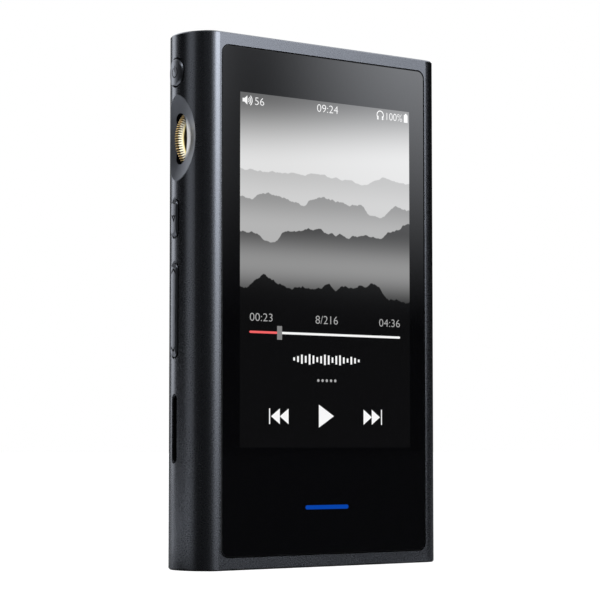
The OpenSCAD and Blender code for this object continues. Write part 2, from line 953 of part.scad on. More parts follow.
module wheel_cage() {
    color([0.6, 0.61, 0.63])
        difference() {
            union() {
                cage_plate(cage_front, cage_front + cage_t);
                cage_plate(cage_back, cage_back + cage_t);
                block([spine_in, cage_front, wheel_z - ear_w / 2],
                      [spine_out, cage_back + cage_t, wheel_z + ear_w / 2]);
                // bar across the front plate with a foot at each end
                block([-cage_screw_x - 1.5, cage_front, wheel_z - cage_screw_z],
                      [-cage_screw_x + 1.5, cage_front + cage_t, wheel_z + cage_screw_z]);
                for (side = [-1, 1])
                    hole_at(-cage_screw_x, mid_back, cage_front + cage_t,
                            wheel_z + side * cage_screw_z, 1.5);
            }
            hole_at(-wheel_x, mid_back, cavity_back, wheel_z, axle_r + pin_gap);
            for (side = [-1, 1])
                hole_at(-cage_screw_x, mid_back - 1, cage_back,
                        wheel_z + side * cage_screw_z, screw_r + thread_gap);
        }
}

module cage_screws() {
    color("silver")
        for (side = [-1, 1])
            screw_at(-cage_screw_x, cage_front + cage_t, wheel_z + side * cage_screw_z,
                     cage_front + cage_t - mid_front);
}

encoder_gap = 0.15;
encoder_t = cavity_back - encoder_gap - cage_back - cage_t;
encoder_w = 8;
encoder_link = 11;

module encoder_body() {
    y0 = cage_back + cage_t;
    color([0.2, 0.2, 0.22])
        difference() {
            upright(y0, y0 + encoder_t)
                translate([-wheel_x, wheel_z])
                    round_rect(encoder_w, encoder_w, 0.6);
            hole_at(-wheel_x, y0 - 1, y0 + encoder_t + 1, wheel_z, axle_r + pin_gap);
        }
}

module encoder_flex() {
    y1 = cage_back + cage_t;
    color([0.75, 0.5, 0.2])
        block([-wheel_x - 1.5, y1 - flex_t, wheel_z - encoder_link - 1],
              [-wheel_x + 1.5, y1, wheel_z - ear_w / 2 - 0.2]);
}

module encoder_connector() {
    color([0.85, 0.83, 0.78])
        block([-wheel_x - 1.5, board_back, wheel_z - encoder_link - 1],
              [-wheel_x + 1.5, cage_back + cage_t - flex_t, wheel_z - encoder_link + 1]);
}

// ---- ports ----

socket_x = lining_x - 0.6;

module card_socket() {
    color([0.7, 0.71, 0.73])
        difference() {
            block([-socket_x, control_y - card_t / 2, card_z - card_len / 2 + 0.2],
                  [-socket_x + socket_l, control_y + card_t / 2, card_z + card_len / 2 - 0.2]);
            block([-socket_x - 1, control_y - card_gap_t / 2, card_z - card_w / 2],
                  [-socket_x + socket_l - 1, control_y + card_gap_t / 2, card_z + card_w / 2]);
        }
}

module card_contacts() {
    count = 8;
    pitch = 1.1;
    color([0.8, 0.65, 0.3])
        for (i = [0 : count - 1])
            translate([-socket_x + socket_l - 5, control_y + card_gap_t / 2 - 0.3,
                       card_z + (i - (count - 1) / 2) * pitch - 0.3])
                cube([4, 0.3, 0.6]);
}

// A jack that opens downwards: a block behind the end wall and a round nose through it.
module jack(r, depth) {
    half = r + jack_wall;
    difference() {
        union() {
            block([-half - 0.6, -half, end_wall + 0.1], [half + 0.6, half, depth + jack_end]);
            cylinder(r = r + jack_nose, h = end_wall + 1);
        }
        translate([0, 0, -1])
            cylinder(r = r, h = depth + 1);
    }
}

module headphone_jack() {
    color([0.1, 0.1, 0.11])
        translate([jack_x, port_y, 0])
            jack(jack_r, jack_depth);
}

module balanced_jack() {
    color([0.1, 0.1, 0.11])
        translate([-balanced_x, port_y, 0])
            jack(balanced_r, balanced_depth);
}

// Solder feet beside a jack, on the main board.
module jack_feet(x, r, depth) {
    reach = r + jack_wall + 0.6;
    for (side = [-1, 1], i = [1 : 3])
        translate([x + side * (reach + 0.5) - 0.5, board_front - 0.3, i * depth / 3.6])
            cube([1, 0.3, 0.8]);
}

module jack_contacts() {
    color([0.8, 0.65, 0.3]) {
        jack_feet(jack_x, jack_r, jack_depth);
        jack_feet(-balanced_x, balanced_r, balanced_depth);
    }
}

module usb_shell() {
    color("silver")
        difference() {
            translate([0, port_y, 0])
                linear_extrude(usb_len)
                    pill(usb_w, usb_t);
            translate([0, port_y, -1])
                linear_extrude(usb_len + 2)
                    pill(usb_w - 2 * usb_wall, usb_t - 2 * usb_wall);
        }
}

tongue_w = 6.7;
tongue_t = 0.7;
tongue_base = 1.4;

module usb_tongue() {
    color([0.08, 0.08, 0.09]) {
        translate([0, port_y, usb_len - tongue_base])
            linear_extrude(tongue_base)
                pill(usb_w - 2 * usb_wall, usb_t - 2 * usb_wall);
        block([-tongue_w / 2, port_y - tongue_t / 2, 1],
              [tongue_w / 2, port_y + tongue_t / 2, usb_len - tongue_base + tiny]);
    }
}

module usb_contacts() {
    count = 12;
    pitch = 0.5;
    color([0.85, 0.68, 0.3])
        for (side = [-1, 1], i = [0 : count - 1])
            translate([(i - (count - 1) / 2) * pitch - 0.12,
                       port_y + side * (tongue_t / 2 + 0.05) - 0.05, 1.6])
                cube([0.24, 0.1, 3.8]);
}

// ---- boards, chips and battery ----

notch_gap = 0.7;

module jack_notch(x, r, depth) {
    half = r + jack_wall + 0.6 + port_gap;
    block([x - half, board_front - 1, 0], [x + half, board_back + 1, depth + jack_end + port_gap]);
}

module main_board() {
    color([0.08, 0.3, 0.18])
        difference() {
            upright(board_front, board_back)
                difference() {
                    translate([-board_left, board_low])
                        square([board_left + board_right, board_high - board_low]);
                    // bay for the battery
                    translate([board_split, board_bottom_z])
                        square([body_w, board_top_z - board_bottom_z]);
                    // notch for the wheel and its cage
                    translate([-wheel_x, wheel_z])
                        circle(wheel_r + notch_gap);
                    translate([-wheel_x, wheel_z - ear_w / 2 - notch_gap])
                        square([spine_out + wheel_x + notch_gap, ear_w + 2 * notch_gap]);
                }
            for (at = board_screw_at)
                hole_at(at[0], board_front - 1, board_back + 1, at[1], screw_r + thread_gap);
            // notches that the jacks are let into
            jack_notch(jack_x, jack_r, jack_depth);
            jack_notch(-balanced_x, balanced_r, balanced_depth);
        }
}

module board_standoffs() {
    color([0.75, 0.6, 0.3])
        for (at = board_screw_at)
            difference() {
                hole_at(at[0], mid_back, board_front, at[1], standoff_r);
                hole_at(at[0], mid_back - 1, board_front + 1, at[1], screw_r + thread_gap);
            }
}

module board_screws() {
    color("silver")
        for (at = board_screw_at)
            screw_at(at[0], board_back, at[1], board_t + screw_bite);
}

// A chip given by the middle of its face and its size, on the board's front or back.
module chip(x, z, w, h, t, front = true) {
    y0 = front ? board_front - t : board_back;
    block([x - w / 2, y0, z - h / 2], [x + w / 2, y0 + t, z + h / 2]);
}

module processor() {
    color([0.12, 0.12, 0.13])
        chip(can_x, can_z - can_h / 2 + chip_margin + core_w / 2, core_w, core_w, core_t);
}

module memory_chips() {
    color([0.12, 0.12, 0.13])
        for (side = [-1, 1])
            chip(can_x + side * (memory_w + memory_gap) / 2,
                 can_z + can_h / 2 - 2 * chip_margin - memory_h / 2, memory_w, memory_h, memory_t);
}

module shield_can() {
    color([0.78, 0.79, 0.8])
        difference() {
            chip(can_x, can_z, can_w, can_h, can_t);
            block([can_x - can_w / 2 + can_wall, board_front - can_t + can_wall,
                   can_z - can_h / 2 + can_wall],
                  [can_x + can_w / 2 - can_wall, board_front + 1,
                   can_z + can_h / 2 - can_wall]);
        }
}

// The audio chips stand on the back of the board, in a row above their capacitors.
audio_x = 4.5;
dac_w = 7;
dac_t = 0.9;
dac_z = can_z + can_h / 2 - dac_w;
crystal_gap = 5.25;
crystal_w = 3.2;
crystal_h = 2.5;
crystal_t = 1.1;
crystal_z = dac_z - dac_w / 2 - crystal_h / 2 - crystal_gap;
can_r = 1.9;
can_len = 2.6;
can_pitch = 4.6;
amplifier_w = 4;
amplifier_pitch = 5.5;
coil_w = 3.2;
coil_t = 1.6;
coil_pitch = 4.4;
radio_w = 9;
radio_h = 8;
radio_t = 1.7;

module dac_chips() {
    color([0.12, 0.12, 0.13])
        for (side = [-1, 1])
            chip(can_x + side * audio_x, dac_z, dac_w, dac_w, dac_t, false);
}

module amplifier_chips() {
    color([0.12, 0.12, 0.13])
        for (i = [0, 1])
            chip(3 + i * amplifier_pitch, body_h - screw_drop - amplifier_w / 2 - 0.4,
                 amplifier_w, amplifier_w, dac_t, false);
}

module clock_crystals() {
    color([0.8, 0.78, 0.7])
        for (side = [-1, 1])
            chip(can_x + side * (crystal_w + 2.8) / 2, crystal_z,
                 crystal_w, crystal_h, crystal_t, false);
}

module audio_capacitors() {
    color([0.3, 0.32, 0.36])
        for (side = [-1, 1], row = [0 : 2])
            hole_at(can_x + side * audio_x, board_back, board_back + can_len,
                    crystal_z - can_pitch - 2.4 - row * can_pitch, can_r);
}

module power_coils() {
    color([0.25, 0.25, 0.27])
        for (i = [0 : 3])
            chip(board_right - screw_edge - 1.3 - i * coil_pitch, board_bottom_z - 4.5,
                 coil_w, coil_w, coil_t);
}

module wireless_module() {
    color([0.7, 0.72, 0.74])
        chip(-2, board_high - radio_h / 2 - 1.6, radio_w, radio_h, radio_t);
}

battery_r = 1.5;
tape_margin = 3;

module battery_cell() {
    color([0.75, 0.76, 0.78])
        translate([battery_x, battery_front + battery_t / 2, battery_z])
            linear_extrude(battery_h)
                round_rect(battery_w, battery_t, battery_r);
}

module battery_tape() {
    color([0.9, 0.9, 0.85])
        block([battery_x - battery_w / 2 + tape_margin, mid_back, battery_z + tape_margin],
              [battery_x + battery_w / 2 - tape_margin, battery_front,
               battery_z + battery_h - tape_margin]);
}

lead_z = battery_z + battery_h;
lead_connector_z = board_top_z + 2;
lead_connector_w = 6;
lead_connector_h = 3;
lead_r = 0.45;
lead_pitch = 1.8;
lead_x = battery_x - 5;
lead_y = board_front - 1.7;
protect_w = 10;
protect_t = 1;

module battery_board() {
    color([0.1, 0.35, 0.2])
        block([lead_x - protect_w / 2, lead_y - protect_t / 2, lead_z],
              [lead_x + protect_w / 2, lead_y + protect_t / 2, lead_z + protect_h]);
}

// Three short leads and the plug that they end in.
module battery_leads() {
    color([0.7, 0.1, 0.1]) {
        for (i = [-1 : 1])
            translate([lead_x + i * lead_pitch, lead_y, lead_z + protect_h])
                cylinder(r = lead_r, h = lead_connector_z - lead_z - protect_h + tiny);
        block([lead_x - lead_connector_w / 2, lead_y - lead_r - 0.2, lead_connector_z],
              [lead_x + lead_connector_w / 2, board_front, lead_connector_z + lead_connector_h]);
    }
}

// ---- assembly ----
housing();
front_glass();
glass_bond();
rear_cover();
cover_bond();
radio_window();
lcd_panel();
panel_bond();
backlight_tray();
display_flex();
display_connector();
mid_frame();
mid_frame_screws();
power_button();
power_plunger();
power_switch();
power_board();
power_bracket();
volume_wheel();
wheel_axle();
wheel_cage();
cage_screws();
encoder_body();
encoder_flex();
encoder_connector();
play_button();
play_plunger();
play_switch();
track_rocker();
track_plungers();
track_switches();
rocker_pin();
rocker_cradle();
button_board();
button_bracket();
bracket_screws();
card_socket();
card_contacts();
main_board();
board_standoffs();
board_screws();
processor();
memory_chips();
shield_can();
dac_chips();
amplifier_chips();
clock_crystals();
audio_capacitors();
power_coils();
wireless_module();
headphone_jack();
balanced_jack();
jack_contacts();
usb_shell();
usb_tongue();
usb_contacts();
battery_cell();
battery_tape();
battery_board();
battery_leads();
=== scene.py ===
"""Looks of the digital audio player: materials, screen, key symbols, camera and studio.

Every length of the object is in millimetres here and is turned into metres by MM.
"""
import json
import math

import bmesh
import bpy
from mathutils import Matrix, Vector
from mathutils.bvhtree import BVHTree


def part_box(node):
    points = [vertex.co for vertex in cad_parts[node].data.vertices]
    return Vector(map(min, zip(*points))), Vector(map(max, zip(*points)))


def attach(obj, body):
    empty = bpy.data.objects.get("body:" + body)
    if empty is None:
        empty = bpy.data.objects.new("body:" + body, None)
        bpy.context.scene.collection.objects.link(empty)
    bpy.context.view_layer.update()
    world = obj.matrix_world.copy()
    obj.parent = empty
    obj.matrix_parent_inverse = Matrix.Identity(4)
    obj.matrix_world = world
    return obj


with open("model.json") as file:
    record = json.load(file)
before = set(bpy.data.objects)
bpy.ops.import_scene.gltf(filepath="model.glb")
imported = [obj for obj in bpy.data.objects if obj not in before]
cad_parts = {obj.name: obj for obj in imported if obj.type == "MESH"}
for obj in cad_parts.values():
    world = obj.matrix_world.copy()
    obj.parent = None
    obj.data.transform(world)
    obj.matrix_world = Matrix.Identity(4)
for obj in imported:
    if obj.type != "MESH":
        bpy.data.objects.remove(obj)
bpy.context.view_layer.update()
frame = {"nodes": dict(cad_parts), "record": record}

MM = 0.001
nodes = frame["nodes"]
scene = bpy.context.scene
scene.view_settings.view_transform = "Standard"


def middle_of(node):
    """Middle of a node's box."""
    low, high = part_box(node)
    return (low + high) / 2 / MM


# ---------------------------------------------------------------- node helpers

def new_material(name):
    mat = bpy.data.materials.new(name)
    mat.use_nodes = True
    tree = mat.node_tree
    return mat, tree, tree.nodes["Principled BSDF"]


def add(tree, kind, **values):
    """A node of that kind; keywords set its inputs or, where it has none of that name, its properties."""
    node = tree.nodes.new(kind)
    for key, value in values.items():
        socket = node.inputs.get(key.replace("_", " ").title())
        if socket is not None:
            socket.default_value = value
        else:
            setattr(node, key, value)
    return node


def object_coords(tree):
    return add(tree, "ShaderNodeTexCoord").outputs["Object"]


def face_normal(tree):
    return add(tree, "ShaderNodeNewGeometry").outputs["Normal"]


def axes(tree, vector):
    """A vector's parts, as outputs named X, Y and Z."""
    split = add(tree, "ShaderNodeSeparateXYZ")
    tree.links.new(vector, split.inputs["Vector"])
    return split.outputs


def calc(tree, operation, a, b=None):
    """One step of arithmetic on one or two values, each of them a number or an output."""
    node = add(tree, "ShaderNodeMath", operation=operation)
    for socket, value in zip(node.inputs, (a, b)):
        if value is None:
            continue
        if isinstance(value, (int, float)):
            socket.default_value = value
        else:
            tree.links.new(value, socket)
    return node.outputs["Value"]


def inverse(tree, mask):
    return calc(tree, "SUBTRACT", 1.0, mask)


def mix(tree, factor, a, b):
    """From a at factor 0 to b at factor 1, both single values."""
    return calc(tree, "ADD", calc(tree, "MULTIPLY", a, inverse(tree, factor)),
                calc(tree, "MULTIPLY", b, factor))


def smooth(tree, value, low, high):
    """0 below low, 1 above high, with a soft step between."""
    node = add(tree, "ShaderNodeMapRange", interpolation_type="SMOOTHSTEP", from_min=low, from_max=high)
    tree.links.new(value, node.inputs["Value"])
    return node.outputs["Result"]


def window(tree, value, low, high, edge):
    """1 between low and high, falling softly to 0 outside."""
    return calc(tree, "MULTIPLY", smooth(tree, value, low - edge, low),
                inverse(tree, smooth(tree, value, high, high + edge)))


def ramp(tree, value, stops):
    """stops: (position, grey or colour)."""
    node = add(tree, "ShaderNodeValToRGB")
    elements = node.color_ramp.elements
    while len(elements) < len(stops):
        elements.new(0.5)
    for element, (position, colour) in zip(elements, stops):
        element.position = position
        if isinstance(colour, (int, float)):
            colour = (colour,) * 3
        element.color = (*colour, 1)
    tree.links.new(value, node.inputs["Fac"])
    return node.outputs["Color"]


def noise(tree, scale, detail=3.0, stretch=(1, 1, 1)):
    """Noise over the object's own millimetres: scale is the number of cells in a millimetre."""
    mapping = add(tree, "ShaderNodeMapping", scale=[s * scale / MM for s in stretch])
    tree.links.new(object_coords(tree), mapping.inputs["Vector"])
    cells = add(tree, "ShaderNodeTexNoise", scale=1.0, detail=detail)
    tree.links.new(mapping.outputs["Vector"], cells.inputs["Vector"])
    return cells.outputs["Fac"]


def from_point(tree, centre, scale=(1, 1, 1)):
    """Distance from a point, with each direction stretched by scale."""
    move = add(tree, "ShaderNodeVectorMath", operation="SUBTRACT")
    tree.links.new(object_coords(tree), move.inputs[0])
    move.inputs[1].default_value = centre * MM
    stretch = add(tree, "ShaderNodeVectorMath", operation="MULTIPLY")
    tree.links.new(move.outputs["Vector"], stretch.inputs[0])
    stretch.inputs[1].default_value = scale
    length = add(tree, "ShaderNodeVectorMath", operation="LENGTH")
    tree.links.new(stretch.outputs["Vector"], length.inputs[0])
    return calc(tree, "MULTIPLY", length.outputs["Value"], 1 / MM)


def blend_input(tree, socket, factor, other):
    """Blends what an input has so far with another colour or value."""
    node = add(tree, "ShaderNodeMix", data_type="RGBA" if socket.type == "RGBA" else "FLOAT")
    if socket.type == "RGBA":
        base, extra, out = node.inputs[6], node.inputs[7], node.outputs[2]
        extra.default_value = (*other, 1)
    else:
        base, extra, out = node.inputs[2], node.inputs[3], node.outputs[0]
        extra.default_value = other
    if socket.is_linked:
        tree.links.new(socket.links[0].from_socket, base)
    else:
        base.default_value = socket.default_value
    tree.links.new(factor, node.inputs[0])
    tree.links.new(out, socket)


# ---------------------------------------------------------------- plain finishes

METAL = (0.118, 0.123, 0.134)          # anodised aluminium, a dark blue-grey


def shade(colour, factor):
    return tuple(c * factor for c in colour)


def textured(name, colour, metallic, rough, grain=6.0, spread=0.12, relief=0.0,
             stretch=(1, 1, 1), specular=0.5):
    """One finish: a base colour and roughness that wander by spread, and a relief of grain."""
    mat, tree, bsdf = new_material(name)
    bsdf.inputs["Metallic"].default_value = metallic
    bsdf.inputs["Specular IOR Level"].default_value = specular
    fine = noise(tree, grain, 2.0, stretch)
    broad = noise(tree, 0.12, 3.0)
    mixed = calc(tree, "ADD", calc(tree, "MULTIPLY", fine, 0.7), calc(tree, "MULTIPLY", broad, 0.3))
    tree.links.new(
        ramp(tree, mixed, [(0.3, shade(colour, 1 - spread)), (0.7, shade(colour, 1 + spread))]),
        bsdf.inputs["Base Color"])
    tree.links.new(
        ramp(tree, mixed, [(0.3, rough * (1 + spread)), (0.7, rough * (1 - spread))]),
        bsdf.inputs["Roughness"])
    if relief:
        bump = add(tree, "ShaderNodeBump", strength=0.5, distance=relief * MM)
        tree.links.new(fine, bump.inputs["Height"])
        tree.links.new(bump.outputs["Normal"], bsdf.inputs["Normal"])
    return mat


def black_glass(name):
    """Black behind polished glass."""
    mat, tree, bsdf = new_material(name)
    bsdf.inputs["Base Color"].default_value = (0.0012, 0.0012, 0.0014, 1)
    bsdf.inputs["Roughness"].default_value = 0.03
    bsdf.inputs["IOR"].default_value = 1.5
    return mat, tree, bsdf


# Colour, metallic, roughness, grain, spread, relief and stretch, as textured takes them.
PLAIN_FINISHES = {
    "window_plastic": ((0.03, 0.031, 0.034), 0.0, 0.42, 5.0, 0.1, 0.01),
    "screw_steel": ((0.55, 0.55, 0.57), 1.0, 0.3, 6.0, 0.1),
    "sheet_steel": ((0.58, 0.58, 0.6), 1.0, 0.34, 4.0, 0.12, 0.0, (1, 1, 6)),
    "cast_alloy": ((0.4, 0.4, 0.42), 1.0, 0.5, 3.0, 0.15, 0.02),
    "display_glass": ((0.01, 0.01, 0.012), 0.0, 0.15, 1.0, 0.1),
    "black_adhesive": ((0.01, 0.01, 0.01), 0.0, 0.6, 2.0, 0.2),
    "clear_adhesive": ((0.6, 0.62, 0.64), 0.0, 0.5, 2.0, 0.1),
    "flex_film": ((0.45, 0.24, 0.06), 0.0, 0.35, 3.0, 0.2, 0.0, (4, 1, 1)),
    "connector_plastic": ((0.7, 0.68, 0.6), 0.0, 0.5, 3.0, 0.1),
    "switch_plastic": ((0.65, 0.65, 0.62), 0.0, 0.5, 3.0, 0.1),
    "black_plastic": ((0.012, 0.012, 0.013), 0.0, 0.4, 5.0, 0.15, 0.01),
    "circuit_board": ((0.01, 0.075, 0.035), 0.0, 0.35, 1.5, 0.35),
    "chip_resin": ((0.02, 0.02, 0.022), 0.0, 0.55, 5.0, 0.2, 0.01),
    "capacitor_can": ((0.5, 0.5, 0.52), 1.0, 0.35, 4.0, 0.1),
    "gold_contact": ((0.85, 0.6, 0.22), 1.0, 0.25, 4.0, 0.1),
    "battery_pouch": ((0.5, 0.51, 0.53), 0.6, 0.4, 0.8, 0.15, 0.05),
    "lead_plastic": ((0.4, 0.02, 0.015), 0.0, 0.45, 2.0, 0.1),
}


# ---------------------------------------------------------------- glass, housing and keys

MATT = 0.8                # roughness of what is blackened as painted shade
# painted shade: the black of the gap round the glass
GAP_SHADE = (0.002, 0.002, 0.002)
LIP = 0.3                 # width of the painted shade round the glass
# painted shade on walls that go straight into the left side, deep in pockets and slots
WALL_SHADE = (0.004, 0.004, 0.004)
WALL_X = -25.0            # walls left of here get the painted shade in full,
WALL_END_X = -20.0        # and right of here not at all
HOUSING_REACH = 3.0       # how far from the side's middle line the painted shade reaches, in the housing
CAP_REACH = 4.0           # and on the caps
DISH_LENGTH = 18.3        # of the hollow round the wheel, along the side
DISH_DEPTH = 2.0
DISH_R = (DISH_LENGTH ** 2 / 4 + DISH_DEPTH ** 2) / (2 * DISH_DEPTH)
WHEEL_INSET = 0.35        # how far the wheel's crest stands behind the player's side
# painted highlight: a near-white, hardly metallic oval on the dish's flank in front of the wheel's slot
FLANK_HIGHLIGHT = (0.95, 0.95, 0.96)
HIGHLIGHT_FORWARD = 1.4        # of the painted highlight's middle, from the wheel's towards the front
HIGHLIGHT_Y = 2.4              # its half axes
HIGHLIGHT_Z = 4.6


def blacken(mat, mask, colour):
    """Rough black where the mask is 1: painted shade."""
    inputs = mat.node_tree.nodes["Principled BSDF"].inputs
    blend_input(mat.node_tree, inputs["Base Color"], mask, colour)
    blend_input(mat.node_tree, inputs["Roughness"], mask, MATT)
    return mat


def glass_lip(mat):
    """Where glass and housing meet, their leaning edges are painted black: painted shade of the gap round
    the glass, which also takes away a glint there.
    """
    tree = mat.node_tree
    low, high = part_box("front_glass")
    place = axes(tree, object_coords(tree))
    aside = calc(tree, "SUBTRACT", calc(tree, "ABSOLUTE", place["X"]), high.x)
    height = calc(tree, "ABSOLUTE", calc(tree, "SUBTRACT", place["Z"], (low.z + high.z) / 2))
    out = calc(tree, "MAXIMUM", aside, calc(tree, "SUBTRACT", height, (high.z - low.z) / 2))
    facing = smooth(tree, calc(tree, "ABSOLUTE", axes(tree, face_normal(tree))["Y"]), 0.9, 0.99)
    other = calc(tree, "MAXIMUM", facing, smooth(tree, out, LIP * MM, 2 * LIP * MM))
    return blacken(mat, inverse(tree, other), GAP_SHADE)


def shade_walls(mat, reach):
    """Walls that go straight into the left side, such as those of pockets and slots, are painted near
    black: painted shade deep in these recesses.

    reach is how far from the side's middle line they are looked for.
    """
    tree = mat.node_tree
    place = axes(tree, object_coords(tree))
    outward = smooth(tree, calc(tree, "ABSOLUTE", axes(tree, face_normal(tree))["X"]), 0.4, 0.6)
    far = smooth(tree, calc(tree, "ABSOLUTE", place["Y"]), reach * MM, reach * 1.1 * MM)
    right = smooth(tree, place["X"], WALL_X * MM, WALL_END_X * MM)
    other = calc(tree, "MAXIMUM", outward, calc(tree, "MAXIMUM", far, right))
    return blacken(mat, inverse(tree, other), WALL_SHADE)


def dish_finish(mat):
    """The hollow round the wheel is duller than the rest, with a near-white painted highlight on the flank
    in front of its slot.
    """
    tree = mat.node_tree
    inputs = tree.nodes["Principled BSDF"].inputs
    centre = middle_of("volume_wheel")
    centre.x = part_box("volume_wheel")[0].x / MM - WHEEL_INSET + DISH_DEPTH - DISH_R
    inside = inverse(tree, smooth(tree, from_point(tree, centre), DISH_R + 0.03, DISH_R + 0.1))
    # the painted highlight lies on an oval in front of the slot
    centre.y -= HIGHLIGHT_FORWARD
    ring = from_point(tree, centre, (0, 1 / HIGHLIGHT_Y, 1 / HIGHLIGHT_Z))
    painted_highlight = calc(tree, "MULTIPLY", inside, inverse(tree, smooth(tree, ring, 0.6, 1.1)))
    for name, dull, bright in (("Base Color", shade(METAL, 1.6), FLANK_HIGHLIGHT), ("Roughness", 0.45, 0.5)):
        blend_input(tree, inputs[name], inside, dull)
        blend_input(tree, inputs[name], painted_highlight, bright)
    tree.links.new(mix(tree, painted_highlight, 1.0, 0.15), inputs["Metallic"])
    return mat


def housing_finish():
    """Blasted metal with painted shade on the lip round the glass and on the pocket walls, and the wheel's
    hollow with its painted highlight.
    """
    metal = textured("frame_metal", METAL, 1.0, 0.27, 5.0, 0.06, 0.003)
    return shade_walls(dish_finish(glass_lip(metal)), HOUSING_REACH)


def cap_finish():
    """The same metal a little paler, with painted shade on the walls under the caps."""
    metal = textured("button_metal", shade(METAL, 1.1), 1.0, 0.3, 5.0, 0.08, 0.004)
    return shade_walls(metal, CAP_REACH)


def glass_finish():
    """Black printed cover glass: a mirror-smooth face with the faintest unevenness."""
    mat, tree, bsdf = black_glass("front_glass")
    smear = noise(tree, 0.05, 4.0)
    tree.links.new(ramp(tree, smear, [(0.35, 0.02), (0.7, 0.05)]), bsdf.inputs["Roughness"])
    # its leaning edges take the painted shade of the gap round it
    return glass_lip(mat)


# ---------------------------------------------------------------- wheel

CREST_GOLD = (0.95, 0.68, 0.3)
# brushed brass of the bevels, its pale tone partly painted highlight
BEVEL_GOLD = (1.0, 0.9, 0.66)
# painted shade: a deeper gold at the bevels' foot
FOOT_SHADE_GOLD = (1.0, 0.82, 0.36)
# painted shade in the knurl's gaps and on the wheel's side face deep in its slot
KNURL_SHADE = (0.025, 0.017, 0.007)
KNURL_N = 92              # ridges round the wheel
KNURL_REACH = 0.75        # how far the painted shade of their gaps runs down the bevel
BEVEL_END = 1.05          # depth below the crest at which the bevel gives way to the side face, painted in shade


def below_crest(tree):
    """Depth below the wheel's crest."""
    low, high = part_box("volume_wheel")
    return calc(tree, "SUBTRACT", (high.z - low.z) / 2 / MM,
                from_point(tree, middle_of("volume_wheel"), (1, 0, 1)))


def knurl_shade_mask(tree):
    """Painted shade: 1 in the gaps between the ridges, which narrow to nothing down the bevel, and on the
    side face.
    """
    centre = middle_of("volume_wheel")
    place = axes(tree, object_coords(tree))
    angle = calc(tree, "ARCTAN2", calc(tree, "SUBTRACT", place["Z"], centre.z * MM),
                 calc(tree, "SUBTRACT", place["X"], centre.x * MM))
    wave = calc(tree, "COSINE", calc(tree, "MULTIPLY", angle, float(KNURL_N)))
    below = below_crest(tree)
    height = calc(tree, "ADD", wave, calc(tree, "MULTIPLY", below, 1.2 / KNURL_REACH))
    gaps = inverse(tree, smooth(tree, height, 0.0, 0.4))
    return calc(tree, "MAXIMUM", gaps, smooth(tree, below, BEVEL_END, BEVEL_END + 0.15))


def wheel_finish():
    """Pale gold brushed across the rim on the bevels, paler partly as painted highlight; a deeper gold on
    the crest, and at the bevels' foot as painted shade.
    """
    mat = textured("wheel_brass", CREST_GOLD, 1.0, 0.42, 3.0, 0.1, stretch=(1, 8, 1), specular=0.0)
    tree = mat.node_tree
    inputs = tree.nodes["Principled BSDF"].inputs
    facing = smooth(tree, calc(tree, "ABSOLUTE", axes(tree, face_normal(tree))["Y"]), 0.2, 0.55)
    foot = smooth(tree, below_crest(tree), KNURL_REACH, BEVEL_END)
    for mask, colour in ((facing, BEVEL_GOLD), (foot, FOOT_SHADE_GOLD), (knurl_shade_mask(tree), KNURL_SHADE)):
        blend_input(tree, inputs["Base Color"], mask, colour)
    blend_input(tree, inputs["Roughness"], facing, 0.5)
    for name, crest, bevel in (("Metallic", 0.9, 0.6), ("Anisotropic", 0.0, 0.9)):
        tree.links.new(mix(tree, facing, crest, bevel), inputs[name])
    around = add(tree, "ShaderNodeTangent", direction_type="RADIAL", axis="Y")
    tree.links.new(around.outputs["Tangent"], inputs["Tangent"])
    return mat


# ---------------------------------------------------------------- finishes on the nodes

def dress_nodes():
    finishes = {name: textured(name, *values) for name, values in PLAIN_FINISHES.items()}
    finishes["frame_metal"] = housing_finish()
    finishes["button_metal"] = cap_finish()
    finishes["front_glass"] = glass_finish()
    finishes["wheel_brass"] = wheel_finish()
    for part in frame["record"]["subparts"]:
        mesh = nodes[part["node"]].data
        mesh.materials.clear()
        mesh.materials.append(finishes[part["material_slot"]])


dress_nodes()


# ---------------------------------------------------------------- flat shapes

ROOT = 0.05               # how far a flat piece reaches into what it lies on


def finish_piece(name, mesh, material, body):
    piece = bpy.data.objects.new(name, mesh)
    scene.collection.objects.link(piece)
    mesh.materials.append(material)
    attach(piece, body)
    return piece


def prism(name, loops, place, material, body="player", paired=False):
    """Closed thin solids from flat loops. place(u, v) gives the outer and inner point of a corner.

    A paired loop runs along one side and back along the other, and is filled by quads across it,
    so that it follows a curved face.
    """
    bm = bmesh.new()
    for loop in loops:
        outer, inner = zip(*(place(u, v) for u, v in loop))
        front = [bm.verts.new(p) for p in outer]
        back = [bm.verts.new(p) for p in inner]
        count = len(loop)
        if paired:
            for i in range(count // 2 - 1):
                bm.faces.new((front[i], front[i + 1], front[-2 - i], front[-1 - i]))
                bm.faces.new((back[-1 - i], back[-2 - i], back[i + 1], back[i]))
        else:
            bm.faces.new(front)
            bm.faces.new(back[::-1])
        for i in range(count):
            j = (i + 1) % count
            bm.faces.new((front[j], front[i], back[i], back[j]))
    bmesh.ops.recalc_face_normals(bm, faces=bm.faces)
    bmesh.ops.triangulate(bm, faces=[f for f in bm.faces if len(f.verts) > 4])
    mesh = bpy.data.meshes.new(name)
    bm.to_mesh(mesh)
    bm.free()
    return finish_piece(name, mesh, material, body)


def rect(x0, z0, x1, z1):
    return [(x0, z0), (x1, z0), (x1, z1), (x0, z1)]


def capsule(x0, x1, z, thick, steps=8):
    """A horizontal bar with round ends."""
    r = thick / 2
    turn = [math.pi * (i / steps - 0.5) for i in range(steps + 1)]
    right = [(x1 - r + r * math.cos(a), z + r * math.sin(a)) for a in turn]
    left = [(x0 + r - r * math.cos(a), z - r * math.sin(a)) for a in turn]
    return right + left


def disc(x, z, r, steps=20):
    return [(x + r * math.cos(math.tau * i / steps), z + r * math.sin(math.tau * i / steps))
            for i in range(steps)]


